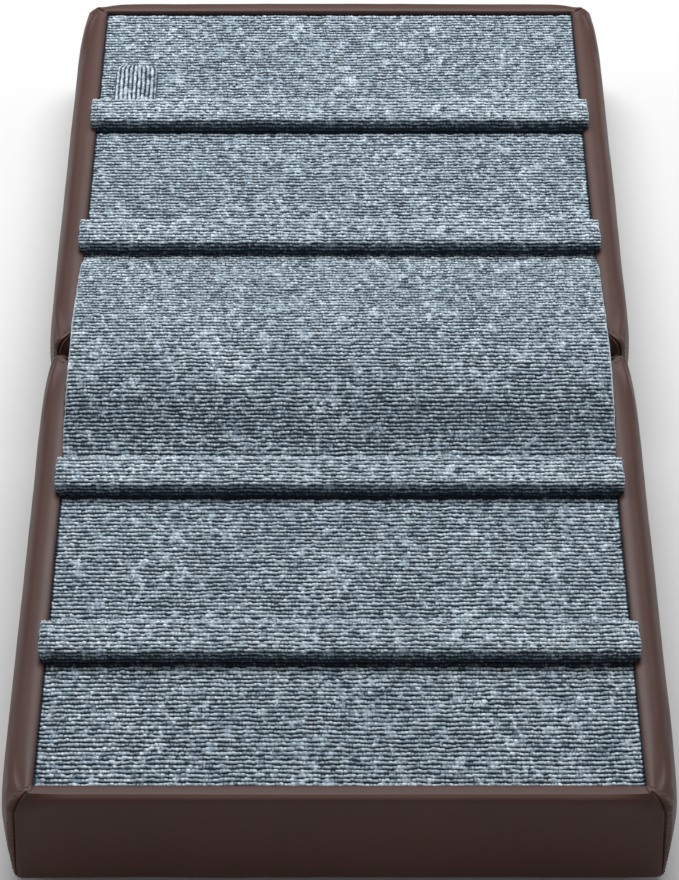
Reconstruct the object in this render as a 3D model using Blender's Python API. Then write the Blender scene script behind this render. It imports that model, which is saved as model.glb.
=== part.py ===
"""Folding padded pet ramp: two upholstered boxes hinged on the tread side under one carpet runner.

Metres, +Z up. The ramp lies flat on its rubber feet. +X is its width, +Y runs up the ramp, and the
origin is on the floor under the middle of the fold. Positive fold lifts the upper section over.
"""

import math

import bmesh
import bpy
from mathutils import Matrix, Vector

# --- driving dimensions ------------------------------------------------------
CLEAR = 0.0003  # air between pieces that touch
WIDTH = 0.460  # over the widest part of the bowed sides
SECTION = 0.447  # length of one section
HALF_GAP = 0.001  # half the gap between the two end panels
FOOT_H = 0.0077
BODY_BOTTOM = FOOT_H + CLEAR
BODY_T = 0.082  # from the underside to the crown of the rim
CROWN = BODY_BOTTOM + BODY_T
LEATHER = 0.0012

BORDER = 0.0139  # padded rim, from the carpet's edge line to the outer face
SIDE_BOW = 0.0030  # how far the sides belly out at mid length
END_BOW = 0.0010
SIDE_LINE = WIDTH / 2 - SIDE_BOW - BORDER  # |x| of the inner edge of the side rims
END_LINE = HALF_GAP + SECTION - END_BOW - BORDER  # |y| of the inner edge of the end rim
INNER_LIP = 0.0035  # height of the rim's small inner roll
CROWN_IN = 0.0060  # from the edge line to the crown
CROWN_FLAT = 0.0015
CROWN_DROP = 0.0105  # height of the rim's outer roll
CORNER_BOTTOM = 0.008  # rounding of the lower outside edge
UNDER_WRAP = 0.020  # leather turned in under the base
GROOVE_R = 0.010  # rounding of the rims beside the fold
SHOULDER_Z = CROWN - 0.020  # the rim is squeezed down above this height as it nears the fold
EAR_R = 0.004  # top outside corner of the panel between the sections

CARPET_T = 0.006
CARPET_TOP = CROWN - 0.0025
CARPET_HALF = SIDE_LINE - 2 * CLEAR
CARPET_END = END_LINE - 2 * CLEAR

FRAME_INSET = 0.0026  # wooden frame, back from the edge line
FRAME_HALF = SIDE_LINE - FRAME_INSET
BASE_T = 0.009
RAIL_T = 0.018
WOOD_TOP = CARPET_TOP - CARPET_T - CLEAR
DECK_T = 0.0117

CLEAT_W = 0.0315
CLEAT_H = 0.0135
CLEAT_WALL = 0.0037  # carpet sleeve over the batten
CLEAT_R = 0.003
CLEATS = {"lower": (-0.302, -0.1414), "upper": (0.1276, 0.2835)}

HUMP_RISE = 0.016  # runner bowed up over the fold
HUMP_PEAK_Y = -0.008
HUMP_ROUND = 0.35

TAB_X = -0.178
TAB_W = 0.036
TAB_L = 0.0495
TAB_T = 0.004
TAB_R = 0.008
TAB_ROOM = 0.0045  # room behind the cleat for the tab's root to turn in

AXIS_Z = CROWN + CLEAR  # fold axis, just above the crown of the rims
PIN_R = 0.0015
BARREL_R = 0.0030
KNUCKLES = 7
HINGE_HALF = 0.200
LEAF_T = 0.0012
LEAF_IN = 0.0063
LEAF_OUT = 0.0335
LEAF_STOP = 0.0040  # the plate's riser ends this far below the axis; the knuckles' arms go on
SEAM_TURN = 24  # degrees round the barrel from its arm to its open seam

FOOT_R = 0.012
FOOT_X = 0.175
FOOT_Y = (0.045, 0.400)

BOLT_X = 0.120
BOLT_W = 0.0110
BOLT_T = 0.0034
BOLT_TIP = -0.0040
BOLT_TAIL = -0.0800
THUMB_L = 0.014
THUMB_W = 0.020
BOLT_Z = 0.0040  # centre height of the sliding bar
GUIDE_Y = (-0.0425, -0.012)
KEEPER_Y = (0.004, 0.020)
CHANNEL_W = 0.024
CHANNEL_BOTTOM = 0.0009
CHANNEL_T = 0.0012
BOLT_CHAMFER = 0.002

SECTIONS = (("lower", -1), ("upper", 1))


# --- helpers -----------------------------------------------------------------
def clear_scene():
    for old in list(bpy.data.objects):
        bpy.data.objects.remove(old, do_unlink=True)


def finish_material(name, colour, roughness, metallic=0.0):
    made = bpy.data.materials.new(name)
    made.use_nodes = True
    shader = made.node_tree.nodes["Principled BSDF"]
    shader.inputs["Base Color"].default_value = (*colour, 1.0)
    shader.inputs["Roughness"].default_value = roughness
    shader.inputs["Metallic"].default_value = metallic
    return made


def node(name, bm, colour, roughness, metallic=0.0, origin=None, parent=None):
    """One named sub-part from a bmesh, with its own material and its origin where it turns."""
    bmesh.ops.recalc_face_normals(bm, faces=bm.faces)
    if origin is not None:
        bmesh.ops.translate(bm, vec=-Vector(origin), verts=bm.verts)
    mesh = bpy.data.meshes.new(name)
    bm.to_mesh(mesh)
    bm.free()
    piece = bpy.data.objects.new(name, mesh)
    bpy.context.collection.objects.link(piece)
    if origin is not None:
        piece.location = origin
    if parent is not None:
        piece.parent = parent
        piece.matrix_parent_inverse = Matrix.Translation(-parent.location)
    mesh.materials.append(finish_material(name, colour, roughness, metallic))
    return piece


def block(low, high, bevel=0.0):
    """A bmesh box between two corners, with its edges broken if bevel is given."""
    bm = bmesh.new()
    bmesh.ops.create_cube(bm, size=1.0)
    size = Vector(high) - Vector(low)
    bmesh.ops.scale(bm, vec=size, verts=bm.verts)
    bmesh.ops.translate(bm, vec=(Vector(high) + Vector(low)) / 2, verts=bm.verts)
    if bevel:
        bmesh.ops.bevel(bm, geom=bm.edges[:], offset=bevel, segments=1, profile=0.5,
                        affect="EDGES", material=-1)
    return bm


def prism(outline, offset):
    """A closed outline of 3-D points, extruded by a vector."""
    bm = bmesh.new()
    face = bm.faces.new([bm.verts.new(p) for p in outline])
    grown = bmesh.ops.extrude_face_region(bm, geom=[face])["geom"]
    moved = [v for v in grown if isinstance(v, bmesh.types.BMVert)]
    bmesh.ops.translate(bm, vec=offset, verts=moved)
    return bm


def cylinder(radius_low, radius_high, low, high, axis, sides=24):
    """A cone or cylinder from low to high along axis, 'X' or 'Z'."""
    bm = bmesh.new()
    length = (Vector(high) - Vector(low)).length
    bmesh.ops.create_cone(bm, cap_ends=True, segments=sides, radius1=radius_low,
                          radius2=radius_high, depth=length)
    if axis == "X":
        bmesh.ops.rotate(bm, cent=(0, 0, 0), matrix=Matrix.Rotation(math.pi / 2, 3, "Y"),
                         verts=bm.verts)
    bmesh.ops.translate(bm, vec=(Vector(high) + Vector(low)) / 2, verts=bm.verts)
    return bm


def arc(centre, radii, start, end, steps):
    """Points of an elliptic arc, angles in degrees from the first axis."""
    points = []
    for i in range(steps + 1):
        turn = math.radians(start + (end - start) * i / steps)
        points.append((centre[0] + radii[0] * math.cos(turn),
                       centre[1] + radii[1] * math.sin(turn)))
    return points


def inset_path(path, distance):
    """An open path moved to its right-hand side by distance."""
    moved = []
    for i, point in enumerate(path):
        before = path[max(i - 1, 0)]
        after = path[min(i + 1, len(path) - 1)]
        if i in (0, len(path) - 1):
            along = Vector(after) - Vector(before)
            normal = Vector((along.y, -along.x)).normalized()
            moved.append(tuple(Vector(point) + normal * distance))
            continue
        first = (Vector(point) - Vector(before)).normalized()
        second = (Vector(after) - Vector(point)).normalized()
        normal = Vector((first.y + second.y, -first.x - second.x)).normalized()
        share = normal.dot(Vector((first.y, -first.x)))
        moved.append(tuple(Vector(point) + normal * distance / share))
    return moved


def rim_path():
    """Outer skin of the padded rim, from the deck up over the crown and under the base, as (out, z)."""
    lip = INNER_LIP
    path = [(0.0, WOOD_TOP + CLEAR)]
    path += arc((CROWN_IN, CROWN - lip), (CROWN_IN, lip), 180, 90, 4)
    outer = BORDER - CROWN_IN - CROWN_FLAT
    path += arc((CROWN_IN + CROWN_FLAT, CROWN - CROWN_DROP), (outer, CROWN_DROP), 90, 0, 6)
    low = CORNER_BOTTOM
    path += arc((BORDER - low, BODY_BOTTOM + low), (low, low), 0, -90, 4)
    path.append((-UNDER_WRAP, BODY_BOTTOM))
    return path


def skin_profile():
    path = rim_path()
    return path + inset_path(path, LEATHER)[::-1]


def foam_profile():
    """The padding fills the rim between the leather and the wooden frame."""
    inner = inset_path(rim_path(), LEATHER + CLEAR)
    kept = [p for p in inner if p[0] > -FRAME_INSET + CLEAR]
    kept[0] = (kept[0][0], WOOD_TOP + CLEAR)
    base = BODY_BOTTOM + LEATHER + CLEAR
    inside = -FRAME_INSET + CLEAR
    return kept + [(inside, base), (inside, WOOD_TOP), (kept[0][0], WOOD_TOP)]


def loft(rings):
    """Closed profile rings joined one to the next and capped."""
    bm = bmesh.new()
    made = [[bm.verts.new(p) for p in ring] for ring in rings]
    count = len(made[0])
    for ring, following in zip(made, made[1:]):
        for i in range(count):
            j = (i + 1) % count
            bm.faces.new((ring[i], ring[j], following[j], following[i]))
    bm.faces.new(made[0])
    bm.faces.new(made[-1][::-1])
    bmesh.ops.triangulate(bm, faces=[f for f in bm.faces if len(f.verts) > 4])
    return bm


def side_border(profile, x_side, y_side):
    """One long side rim: square and rounded down at the fold, mitred at the outer corner."""
    start = HALF_GAP + LEATHER + CLEAR
    length = END_LINE - start
    near = [GROOVE_R * (1 - math.cos(math.radians(a))) for a in (0, 18, 36, 54, 72, 90)]
    far = [length * i / 6 for i in range(1, 7)]
    rings = []
    for distance in near + far:
        bow = SIDE_BOW * 4 * (distance / length) * (1 - distance / length)
        stretch = (BORDER + bow) / BORDER
        back = max(0.0, GROOVE_R - distance)
        drop = GROOVE_R - math.sqrt(max(GROOVE_R ** 2 - back ** 2, 0.0))
        ring = []
        for out, z in profile:
            lowered = z - drop * max(0.0, z - SHOULDER_Z) / (CROWN - SHOULDER_Z)
            x = SIDE_LINE + (out * stretch if out > 0 else out)
            y = start + distance
            if distance == far[-1]:
                y = END_LINE + out - CLEAR / 2
            ring.append((x_side * x, y_side * y, lowered))
        rings.append(ring)
    return loft(rings)


def end_border(profile, y_side):
    """The rim across the outer end, mitred at both corners."""
    rings = []
    steps = 8
    for i in range(steps + 1):
        t = i / steps
        bow = END_BOW * 4 * t * (1 - t)
        stretch = (BORDER + bow) / BORDER
        ring = []
        for out, z in profile:
            x = (2 * t - 1) * SIDE_LINE
            if i in (0, steps):
                x = math.copysign(SIDE_LINE + out - CLEAR / 2, x)
            y = END_LINE + (out * stretch if out > 0 else out)
            ring.append((x, y_side * y, z))
        rings.append(ring)
    return loft(rings)


def span(y_side, near, far):
    """Low and high y of a piece that runs from near to far, measured away from the fold."""
    return min(y_side * near, y_side * far), max(y_side * near, y_side * far)


# --- materials' plain colours ------------------------------------------------
BROWN = (0.062, 0.043, 0.039)
CARPET = (0.27, 0.33, 0.38)
PLY = (0.62, 0.45, 0.27)
FOAM = (0.83, 0.80, 0.70)
BLACK = (0.02, 0.02, 0.02)
STEEL = (0.55, 0.55, 0.56)


# --- one section's pieces ----------------------------------------------------
def wooden_frame(section, y_side):
    inner = HALF_GAP + LEATHER + CLEAR
    outer = END_LINE - FRAME_INSET
    base_low = BODY_BOTTOM + LEATHER + CLEAR
    rail_low = base_low + BASE_T + CLEAR
    rail_high = WOOD_TOP - DECK_T - CLEAR
    low_y, high_y = span(y_side, inner, outer)
    node(f"{section}_base_board",
         block((-FRAME_HALF, low_y, base_low), (FRAME_HALF, high_y, base_low + BASE_T)), PLY, 0.6)
    node(f"{section}_deck_board",
         block((-FRAME_HALF, low_y, WOOD_TOP - DECK_T), (FRAME_HALF, high_y, WOOD_TOP)), PLY, 0.6)
    for side, x_side in (("left", -1), ("right", 1)):
        x_low, x_high = sorted((x_side * (FRAME_HALF - RAIL_T), x_side * FRAME_HALF))
        node(f"{section}_{side}_rail",
             block((x_low, low_y, rail_low), (x_high, high_y, rail_high)), PLY, 0.6)
    cross_x = FRAME_HALF - RAIL_T - CLEAR
    middle = (inner + outer - RAIL_T) / 2
    for name, start in (("hinge_rail", inner), ("mid_rail", middle), ("end_rail", outer - RAIL_T)):
        y_low, y_high = span(y_side, start, start + RAIL_T)
        node(f"{section}_{name}",
             block((-cross_x, y_low, rail_low), (cross_x, y_high, rail_high)), PLY, 0.6)


def upholstery(section, y_side):
    for side, x_side in (("left", -1), ("right", 1)):
        node(f"{section}_{side}_foam", side_border(foam_profile(), x_side, y_side),
             FOAM, 0.9)
        node(f"{section}_{side}_leather", side_border(skin_profile(), x_side, y_side),
             BROWN, 0.45)
    node(f"{section}_end_foam", end_border(foam_profile(), y_side), FOAM, 0.9)
    node(f"{section}_end_leather", end_border(skin_profile(), y_side), BROWN, 0.45)
    hinge_end_leather(section, y_side)
    underside_cloth(section, y_side)


def hinge_end_leather(section, y_side):
    """Flat panel on the end that faces the other section; its two ears close the side rims."""
    wide = SIDE_LINE + BORDER
    ear_top = CROWN - GROOVE_R
    r = CORNER_BOTTOM
    turn = EAR_R
    right = [(SIDE_LINE - CLEAR, WOOD_TOP), (SIDE_LINE + LEATHER, ear_top + CLEAR)]
    right += arc((wide - turn, ear_top - turn), (turn, turn), 90, 0, 3)
    right += arc((wide - r, BODY_BOTTOM + r), (r, r), 0, -90, 4)
    outline = right + [(-x, z) for x, z in reversed(right)]
    y = y_side * HALF_GAP
    panel = prism([(x, y, z) for x, z in outline], (0, y_side * LEATHER, 0))
    bmesh.ops.triangulate(panel, faces=[f for f in panel.faces if len(f.verts) > 4])
    node(f"{section}_hinge_end_leather", panel, BROWN, 0.45)


def underside_cloth(section, y_side):
    inner = HALF_GAP + LEATHER + CLEAR
    half = SIDE_LINE - UNDER_WRAP - CLEAR
    y_low, y_high = span(y_side, inner, END_LINE - UNDER_WRAP - CLEAR)
    node(f"{section}_underside_cloth",
         block((-half, y_low, BODY_BOTTOM), (half, y_high, BODY_BOTTOM + LEATHER)), BLACK, 0.9)


def feet(section, y_side):
    number = 0
    for distance in FOOT_Y:
        for x in (-FOOT_X, FOOT_X):
            number += 1
            low = (x, y_side * distance, 0.0)
            high = (x, y_side * distance, FOOT_H)
            foot = cylinder(FOOT_R * 0.86, FOOT_R, low, high, "Z")
            node(f"{section}_foot_{number}", foot, BLACK, 0.8)


def cleats(section):
    """Wooden battens under sleeves of the runner's own carpet."""
    low = CARPET_TOP + CLEAR
    high = CARPET_TOP + CLEAT_H
    half = CLEAT_W / 2
    r = CLEAT_R
    for number, y in enumerate(CLEATS[section], 1):
        outer = [(y - half, low)]
        outer += arc((y - half + r, high - r), (r, r), 180, 90, 3)
        outer += arc((y + half - r, high - r), (r, r), 90, 0, 3)
        outer.append((y + half, low))
        room = half - CLEAT_WALL
        inner = [(y + room, low), (y + room, high - CLEAT_WALL),
                 (y - room, high - CLEAT_WALL), (y - room, low)]
        outline = [(-CARPET_HALF, a, b) for a, b in outer + inner]
        sleeve = prism(outline, (2 * CARPET_HALF, 0, 0))
        bmesh.ops.triangulate(sleeve, faces=[f for f in sleeve.faces if len(f.verts) > 4])
        node(f"{section}_cleat_cover_{number}", sleeve, CARPET, 0.95)
        wood_half = room - CLEAR
        batten = block((-CARPET_HALF, y - wood_half, low),
                       (CARPET_HALF, y + wood_half, high - CLEAT_WALL - CLEAR))
        node(f"{section}_cleat_batten_{number}", batten, PLY, 0.6)


# --- the runner --------------------------------------------------------------
def hump_height(y, foot_y):
    """Rise of the runner above the carpet's level: a soft tent from the cleats to its peak."""
    t = (y - HUMP_PEAK_Y) / (foot_y - HUMP_PEAK_Y)
    t = min(max(t, 0.0), 1.0) if y != HUMP_PEAK_Y else 0.0
    a = HUMP_ROUND
    full = math.sqrt(a * a + 1) - a
    return HUMP_RISE * (math.sqrt(a * a + 1) - math.sqrt(a * a + t * t)) / full


def runner():
    lower_foot = CLEATS["lower"][1] + CLEAT_W / 2
    upper_foot = CLEATS["upper"][0] - CLEAT_W / 2
    flats = (("lower_carpet", -CARPET_END, lower_foot - CLEAR),
             ("upper_carpet", upper_foot + CLEAR, CARPET_END))
    for name, y_low, y_high in flats:
        node(name, block((-CARPET_HALF, y_low, CARPET_TOP - CARPET_T),
                         (CARPET_HALF, y_high, CARPET_TOP)), CARPET, 0.95)
    bridge("lower_carpet_bridge", lower_foot, -CLEAR / 2, lower_foot, upper_foot)
    bridge("upper_carpet_bridge", CLEAR / 2, upper_foot, lower_foot, upper_foot)


def bridge(name, y_from, y_to, lower_foot, upper_foot):
    """Half of the bowed stretch of runner that crosses the fold."""
    steps = 8
    top = []
    for i in range(steps + 1):
        y = y_from + (y_to - y_from) * i / steps
        foot = lower_foot if y < HUMP_PEAK_Y else upper_foot
        top.append((y, CARPET_TOP + hump_height(y, foot)))
    under = [(y, z - CARPET_T) for y, z in reversed(top)]
    outline = [(-CARPET_HALF, y, z) for y, z in top + under]
    strip = prism(outline, (2 * CARPET_HALF, 0, 0))
    bmesh.ops.triangulate(strip, faces=[f for f in strip.faces if len(f.verts) > 4])
    node(name, strip, CARPET, 0.95)


def pull_tab():
    """A loose flap of the carpet behind the top cleat; its origin is where it lifts."""
    root_y = CLEATS["upper"][1] + CLEAT_W / 2 + TAB_ROOM
    z = CARPET_TOP + CLEAR
    r = TAB_R
    end = root_y + TAB_L
    left, right = TAB_X - TAB_W / 2, TAB_X + TAB_W / 2
    outline = [(left, root_y), (right, root_y)]
    outline += arc((right - r, end - r), (r, r), 0, 90, 5)
    outline += arc((left + r, end - r), (r, r), 90, 180, 5)
    flap = prism([(x, y, z) for x, y in outline], (0, 0, TAB_T))
    bmesh.ops.triangulate(flap, faces=[f for f in flap.faces if len(f.verts) > 4])
    node("pull_tab", flap, CARPET, 0.95, origin=(TAB_X, root_y, z))


# --- hinge -------------------------------------------------------------------
def knuckle_spans(first):
    """x ranges of every second knuckle, with a clearance at each end."""
    pitch = 2 * HINGE_HALF / KNUCKLES
    spans = []
    for i in range(first, KNUCKLES, 2):
        low = -HINGE_HALF + i * pitch
        spans.append((low + CLEAR, low + pitch - CLEAR))
    return spans


def leaf_outline(y_side):
    """Leaf in section: plate on the deck, riser, and the barrel round the pin, open at its seam."""
    plate_low = WOOD_TOP + CLEAR
    bore = PIN_R + CLEAR
    barrel = [(y_side * a, AXIS_Z + b) for a, b in arc((0, 0), (BARREL_R, BARREL_R), 0, -340, 16)]
    inner = [(y_side * a, AXIS_Z + b) for a, b in arc((0, 0), (bore, bore), -340, 0, 16)]
    riser_out = LEAF_IN + LEAF_T
    arm = [(y_side * riser_out, AXIS_Z), (y_side * riser_out, plate_low + LEAF_T),
           (y_side * LEAF_OUT, plate_low + LEAF_T), (y_side * LEAF_OUT, plate_low),
           (y_side * LEAF_IN, plate_low), (y_side * LEAF_IN, AXIS_Z - LEAF_T)]
    under = math.radians(SEAM_TURN)
    seam = [(y_side * BARREL_R * math.cos(under), AXIS_Z - BARREL_R * math.sin(under))]
    return inner + arm + seam + barrel[2:]


def hinge_leaf(name, y_side, first):
    """A folded steel leaf whose knuckles alternate with the other leaf's."""
    empty = bpy.data.objects.new(f"{name}_axis", None)
    empty.location = (0, 0, AXIS_Z)
    bpy.context.collection.objects.link(empty)
    plate_low = WOOD_TOP + CLEAR
    leaf = prism([(-HINGE_HALF, y_side * LEAF_IN, plate_low),
                  (-HINGE_HALF, y_side * LEAF_OUT, plate_low),
                  (-HINGE_HALF, y_side * LEAF_OUT, plate_low + LEAF_T),
                  (-HINGE_HALF, y_side * (LEAF_IN + LEAF_T), plate_low + LEAF_T),
                  (-HINGE_HALF, y_side * (LEAF_IN + LEAF_T), AXIS_Z - LEAF_STOP),
                  (-HINGE_HALF, y_side * LEAF_IN, AXIS_Z - LEAF_STOP)],
                 (2 * HINGE_HALF, 0, 0))
    bmesh.ops.recalc_face_normals(leaf, faces=leaf.faces)
    body = node(name, leaf, STEEL, 0.35, 1.0, origin=(0, 0, AXIS_Z), parent=empty)
    for number, (low, high) in enumerate(knuckle_spans(first)):
        outline = [(low, y, z) for y, z in leaf_outline(y_side)]
        knuckle = node(f"{name}_knuckle_{number}", prism(outline, (high - low, 0, 0)),
                       STEEL, 0.35, 1.0)
        knuckle.hide_render = True
        knuckle.display_type = "WIRE"
        joined = body.modifiers.new(f"knuckle_{number}", "BOOLEAN")
        joined.operation = "UNION"
        joined.object = knuckle
    return body


def hinge():
    hinge_leaf("hinge_leaf_lower", -1, 0)
    hinge_leaf("hinge_leaf_upper", 1, 1)
    pin = cylinder(PIN_R, PIN_R, (-HINGE_HALF, 0, AXIS_Z), (HINGE_HALF, 0, AXIS_Z), "X", 16)
    node("hinge_pin", pin, STEEL, 0.3, 1.0)


# --- slide bolts under the fold ----------------------------------------------
def channel(x, y_range):
    """An upturned steel channel fixed under the base, open along the bolt's path."""
    y_low, y_high = y_range
    half = CHANNEL_W / 2
    room_w = BOLT_W / 2 + CLEAR
    room_low = BOLT_Z - BOLT_T / 2 - CLEAR
    top = BODY_BOTTOM - CLEAR
    wall = room_w + CHANNEL_T
    flange = top - CHANNEL_T
    outline = [(x - half, top), (x - half, flange), (x - wall, flange),
               (x - wall, CHANNEL_BOTTOM), (x + wall, CHANNEL_BOTTOM), (x + wall, flange),
               (x + half, flange), (x + half, top), (x + room_w, top), (x + room_w, room_low),
               (x - room_w, room_low), (x - room_w, top)]
    tube = prism([(a, y_low, b) for a, b in outline], (0, y_high - y_low, 0))
    bmesh.ops.triangulate(tube, faces=[f for f in tube.faces if len(f.verts) > 4])
    return tube


def slide_bolts():
    low_z, high_z = BOLT_Z - BOLT_T / 2, BOLT_Z + BOLT_T / 2
    for side, x in (("left", -BOLT_X), ("right", BOLT_X)):
        node(f"bolt_guide_{side}", channel(x, GUIDE_Y), STEEL, 0.35, 1.0)
        node(f"bolt_keeper_{side}", channel(x, KEEPER_Y), STEEL, 0.35, 1.0)
        half = BOLT_W / 2
        thumb = THUMB_W / 2
        shoulder = BOLT_TAIL + THUMB_L
        outline = [(x - half, BOLT_TIP - BOLT_CHAMFER), (x - half + BOLT_CHAMFER, BOLT_TIP),
                   (x + half - BOLT_CHAMFER, BOLT_TIP), (x + half, BOLT_TIP - BOLT_CHAMFER),
                   (x + half, shoulder), (x + thumb, shoulder), (x + thumb, BOLT_TAIL),
                   (x - thumb, BOLT_TAIL), (x - thumb, shoulder), (x - half, shoulder)]
        bar = prism([(a, b, low_z) for a, b in outline], (0, 0, high_z - low_z))
        bmesh.ops.triangulate(bar, faces=[f for f in bar.faces if len(f.verts) > 4])
        node(f"lock_bolt_{side}", bar, STEEL, 0.3, 1.0, origin=(x, BOLT_TIP, BOLT_Z))


def build():
    clear_scene()
    for section, y_side in SECTIONS:
        wooden_frame(section, y_side)
        upholstery(section, y_side)
        feet(section, y_side)
        cleats(section)
    runner()
    pull_tab()
    hinge()
    slide_bolts()


build()
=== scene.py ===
# %% [markdown]
# # A folding padded dog ramp
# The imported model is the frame: its boards, rails, hinge and bolts stay, and this script dresses it. The
# soft parts, which are the leather covers, the ribbed carpet runner, the cleats' sleeves and the pull tab,
# are made here as finished meshes, and every piece gets a material made of nodes. Lengths are in metres.

# %% Load the frame
import math

import bmesh
import bpy
import numpy as np
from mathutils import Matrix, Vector
from mathutils.bvhtree import BVHTree


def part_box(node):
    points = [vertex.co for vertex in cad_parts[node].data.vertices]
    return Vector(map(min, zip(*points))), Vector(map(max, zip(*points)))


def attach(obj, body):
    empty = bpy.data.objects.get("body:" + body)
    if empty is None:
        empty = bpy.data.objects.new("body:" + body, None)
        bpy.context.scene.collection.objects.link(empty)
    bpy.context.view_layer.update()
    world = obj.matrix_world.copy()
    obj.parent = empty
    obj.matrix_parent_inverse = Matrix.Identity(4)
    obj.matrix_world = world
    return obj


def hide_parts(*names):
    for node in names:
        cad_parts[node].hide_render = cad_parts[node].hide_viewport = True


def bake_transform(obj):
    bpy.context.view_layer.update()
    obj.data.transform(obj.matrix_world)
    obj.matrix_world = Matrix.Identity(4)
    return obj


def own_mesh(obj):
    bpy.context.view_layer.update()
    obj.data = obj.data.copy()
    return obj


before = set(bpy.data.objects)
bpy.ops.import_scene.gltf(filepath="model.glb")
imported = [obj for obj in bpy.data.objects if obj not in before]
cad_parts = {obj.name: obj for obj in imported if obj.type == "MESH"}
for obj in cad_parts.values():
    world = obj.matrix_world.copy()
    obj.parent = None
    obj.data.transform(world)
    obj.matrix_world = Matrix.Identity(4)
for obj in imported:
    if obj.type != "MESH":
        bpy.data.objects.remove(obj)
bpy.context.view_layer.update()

SECTIONS = (("lower", -1), ("upper", 1))

# %% [markdown]
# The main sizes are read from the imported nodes, so the upholstery follows the frame if a board changes.
# The rim is the padded border between the carpet's edge and the outer face.

# %% Sizes taken from the frame
carpet_low, carpet_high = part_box("lower_carpet")
left_low, left_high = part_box("lower_left_leather")
SLIT = 0.0006  # between the carpet and the padded rim
FOLD_SET_BACK = 0.0015  # how far the face at the fold stands back from the ends of the side panels
CARPET_TOP, CARPET_BACK = carpet_high[2], carpet_low[2]
CARPET_HALF = carpet_high[0]
CARPET_END = -carpet_low[1]
CROWN, UNDERSIDE = left_high[2], left_low[2]
EDGE = CARPET_HALF + SLIT  # |x| where the padded rim begins
END_EDGE = CARPET_END + SLIT  # the same, |y| at the two outer ends
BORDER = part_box("lower_end_leather")[1][0] - EDGE  # width of the rim at a corner
FOLD_FACE = -left_high[1] - FOLD_SET_BACK  # |y| of the face towards the other section
WOOD_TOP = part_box("lower_deck_board")[1][2]
WELD = 2e-6  # points of a new mesh closer than this become one
print(f"crown {CROWN:.4f}, carpet top {CARPET_TOP:.4f}, rim {BORDER:.4f} wide, fold face {FOLD_FACE:.4f}")

# %% [markdown]
# ## Materials
# Each finish is a short function. Shader maths is written as Python expressions: `Sock` wraps a node's
# socket, and adding or multiplying two of them adds a Math node to the tree. `node` makes any other node
# from its type, its settings and its inputs.

# %% The shader helpers
class Sock:
    """A socket that can be used in sums, so that mask * 0.3 + 0.2 makes its own Math nodes."""

    def __init__(self, tree, socket):
        self.tree, self.socket = tree, socket

    def math(self, operation, first, second=None):
        return self.tree.node("ShaderNodeMath", {"operation": operation}, {0: first, 1: second}).out()

    def __add__(self, other):
        return self.math("ADD", self, other)

    def __sub__(self, other):
        return self.math("SUBTRACT", self, other)

    def __mul__(self, other):
        return self.math("MULTIPLY", self, other)

    def __pow__(self, other):
        return self.math("POWER", self, other)

    __radd__, __rmul__ = __add__, __mul__


class Made:
    """A node that has been made; out gives one of its outputs as a Sock."""

    def __init__(self, tree, node):
        self.tree, self.node = tree, node

    def out(self, name=0):
        return Sock(self.tree, self.node.outputs[name])


class Finish:
    """A material and its tree. Its Principled shader's constants are set straight on the sockets."""

    def __init__(self, name, **constants):
        self.material = bpy.data.materials.new(name)
        self.material.use_nodes = True
        self.nodes = self.material.node_tree.nodes
        self.links = self.material.node_tree.links
        self.shader = self.nodes["Principled BSDF"]
        for socket, value in constants.items():
            self.shader.inputs[socket.replace("_", " ")].default_value = value

    def node(self, kind, settings=None, inputs=None):
        made = self.nodes.new(kind)
        for key, value in (settings or {}).items():
            setattr(made, key, value)
        for key, value in (inputs or {}).items():
            if isinstance(value, Sock):
                self.links.new(value.socket, made.inputs[key])
            else:
                made.inputs[key].default_value = value
        return Made(self, made)

    def feed(self, socket, value):
        self.links.new(value.socket, self.shader.inputs[socket])

    def place(self):
        return self.node("ShaderNodeTexCoord").out("Object")

    def noise(self, scale, detail=2.0, vector=None, roughness=0.5):
        inputs = {"Vector": vector or self.place(), "Scale": scale, "Detail": detail,
                  "Roughness": roughness}
        return self.node("ShaderNodeTexNoise", None, inputs).out("Fac")

    def mix(self, share, first, second):
        """Mix two colours; each is a socket or a tuple of four numbers."""
        inputs = {0: share, 6: first, 7: second}
        return self.node("ShaderNodeMix", {"data_type": "RGBA"}, inputs).out(2)

    def fit(self, value, low, high, new_low=0.0, new_high=1.0):
        inputs = {0: value, 1: low, 2: high, 3: new_low, 4: new_high}
        return self.node("ShaderNodeMapRange", {"clamp": True}, inputs).out(0)

    def bump(self, height, strength, distance):
        inputs = {"Height": height, "Strength": strength, "Distance": distance}
        return self.node("ShaderNodeBump", None, inputs).out(0)


# %% [markdown]
# The leather is a smooth coated faux leather: a fine pebble grain too small to see across a room, a satin
# sheen, and slow changes of tone. Voronoi cells give the pebbles, a fine noise the pores and a wide noise
# the patchiness, and the roughness follows the patchiness and the pores a little.

# %% Leather
def leather_finish():
    f = Finish("leather", Specular_IOR_Level=0.24)
    place = f.place()
    grain = f.node("ShaderNodeTexVoronoi", {"feature": "DISTANCE_TO_EDGE"},
                   {"Vector": place, "Scale": 900.0}).out(0)
    pebble = f.fit(grain, 0.0, 0.22)
    broad = f.noise(9.0, 3.0, place)
    pore = f.noise(520.0, 2.0, place)
    tone = f.fit(broad, 0.3, 0.7)
    colour = f.mix(tone, (0.058, 0.0265, 0.0215, 1), (0.070, 0.034, 0.028, 1))
    creased = f.mix(f.fit(grain, 0.0, 0.06, 0.35, 0.0), colour, (0.028, 0.014, 0.012, 1))
    f.feed("Base Color", creased)
    f.feed("Roughness", 0.40 + 0.10 * tone + 0.06 * pore)
    f.feed("Normal", f.bump(pebble + 0.5 * pore, 0.22, 0.00012))
    return f.material


LEATHER = leather_finish()

# %% [markdown]
# The thread of the top-stitching is the leather's own brown, a little lighter and duller, with a twist.

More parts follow.
